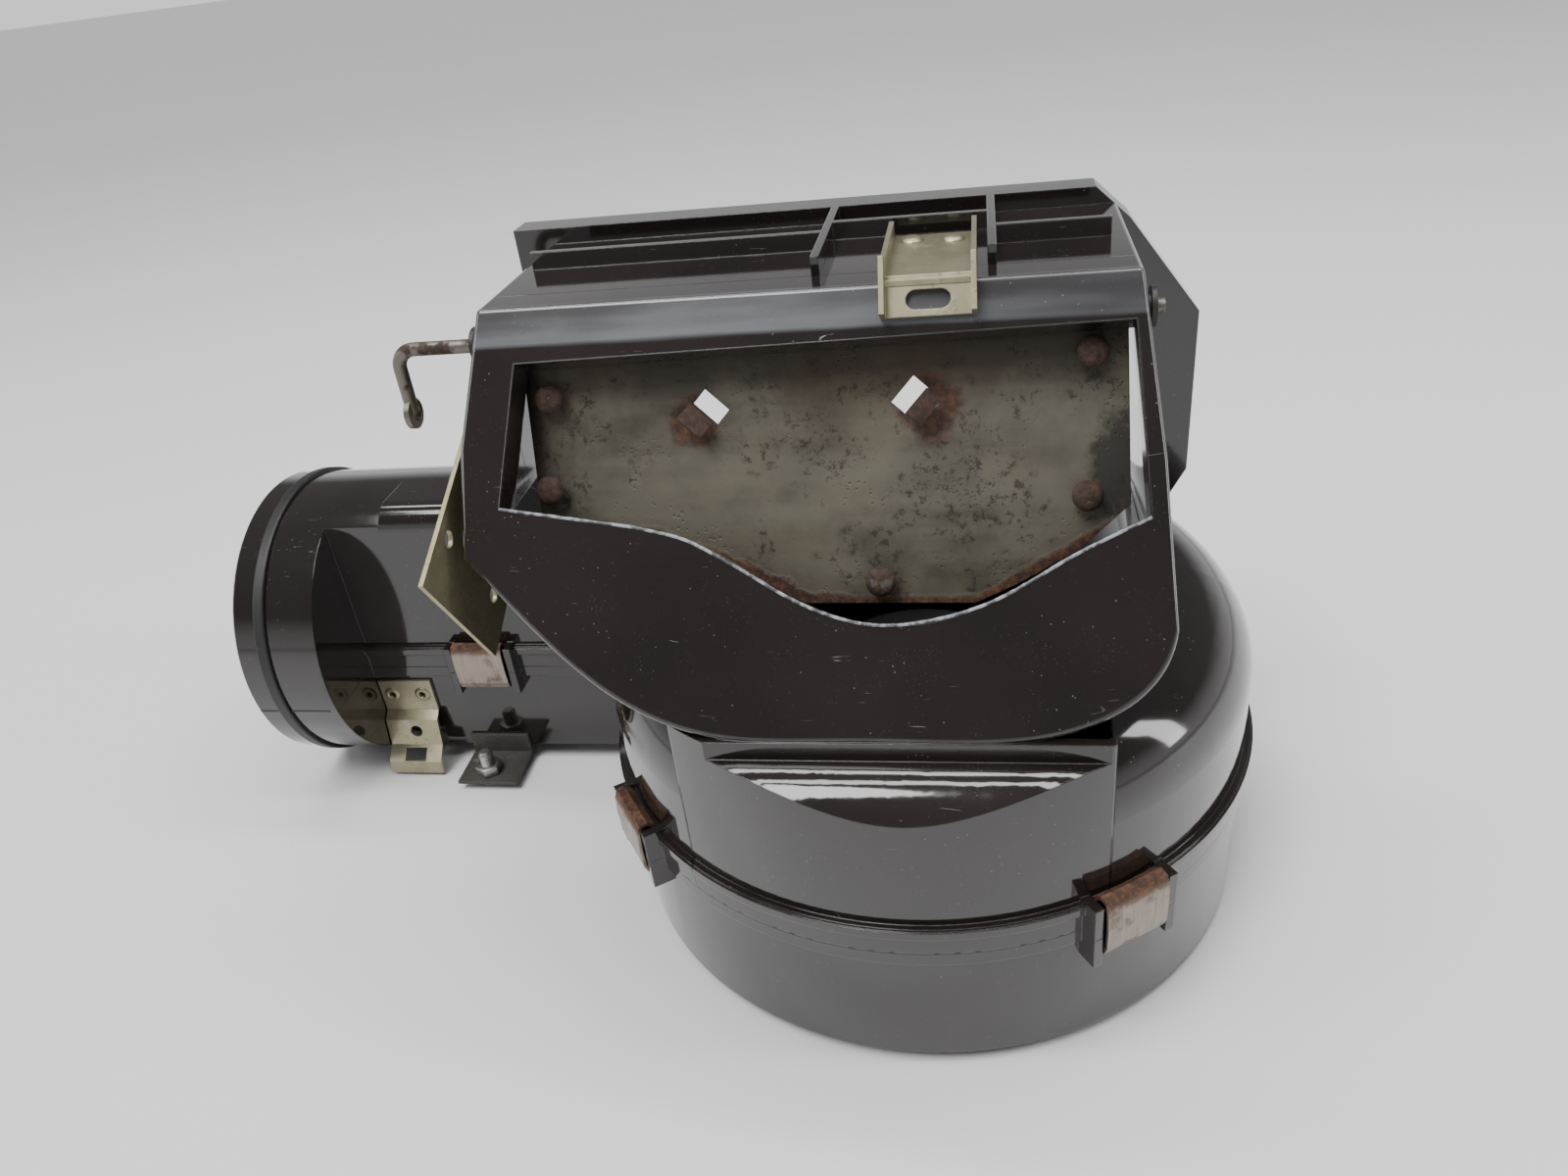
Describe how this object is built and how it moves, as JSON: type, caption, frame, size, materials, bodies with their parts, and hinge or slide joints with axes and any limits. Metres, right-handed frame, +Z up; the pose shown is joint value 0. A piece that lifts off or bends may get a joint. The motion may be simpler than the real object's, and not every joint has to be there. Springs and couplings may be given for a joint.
{
  "type": "blower housing",
  "caption": "Scroll fan housing in moulded plastic with a round outlet spigot and a sloping intake box closed by a hinged steel flap",
  "frame": {"origin": "fan axis at the underside of the foot ring, the face the housing stands on", "axes": "+Z up along the fan axis, outlet spigot towards -X, sloping intake opening towards -Y"},
  "size_m": [0.3216, 0.2001, 0.1891],
  "materials": {
    "casing_plastic": "glossy moulded black plastic with light scuffs",
    "intake_plastic": "glossy moulded black plastic, scuffed pale along the top edge",
    "seal_rubber": "matt black rubber",
    "flap_steel": "aged olive-grey plated steel with rust at the lower edge",
    "foam_pad": "dark closed-cell foam",
    "rusty_rivet": "rusted steel rivet heads",
    "spindle_steel": "tarnished steel rod",
    "bush_plastic": "dark nylon",
    "plated_steel": "pale yellow zinc-plated steel",
    "gold_steel": "gold passivated steel",
    "bright_steel": "bright zinc-plated steel",
    "clip_steel": "bare spring steel with light rust",
    "motor_steel": "plated motor can",
    "magnet_ceramic": "dark sintered ferrite",
    "carrier_plastic": "brown phenolic",
    "terminal_brass": "bright brass",
    "armature_steel": "laminated steel core",
    "impeller_plastic": "matt black moulded plastic"
  },
  "bodies": {
    "housing": {"lower_scroll_casing": "casing_plastic", "upper_scroll_casing": "casing_plastic", "intake_front_moulding": "intake_plastic", "intake_rear_moulding": "intake_plastic", "spigot_seal_ring": "seal_rubber", "spindle_bushes": "bush_plastic", "top_bracket": "plated_steel", "top_bracket_rivets": "plated_steel", "actuator_bracket": "gold_steel", "actuator_bracket_screws": "bright_steel", "duct_bracket": "plated_steel", "duct_bracket_eyelets": "plated_steel", "stud_bracket": "bright_steel", "mounting_stud": "bright_steel", "stud_nut": "bright_steel", "casing_clips": "clip_steel", "motor_gasket": "seal_rubber", "motor_plate": "bright_steel", "motor_screws": "bright_steel", "motor_can": "motor_steel", "motor_magnets": "magnet_ceramic", "motor_brush_carrier": "carrier_plastic", "motor_terminals": "terminal_brass"},
    "flap": {"flap_plate": "flap_steel", "flap_seal": "foam_pad", "flap_rivets": "rusty_rivet", "flap_spindle": "spindle_steel"},
    "fan": {"motor_shaft": "bright_steel", "motor_armature": "armature_steel", "impeller": "impeller_plastic", "impeller_clip": "clip_steel"}
  },
  "joints": [
    {"name": "flap_hinge", "type": "hinge", "parent": "housing", "child": "flap", "pos_m": [0, -0.01902, 0.17229], "axis": [1, 0, 0], "range_deg": [-7, 60]},
    {"name": "fan_spin", "type": "hinge", "parent": "housing", "child": "fan", "pos_m": [0, 0, 0.05], "axis": [0, 0, 1], "continuous": true}
  ]
}
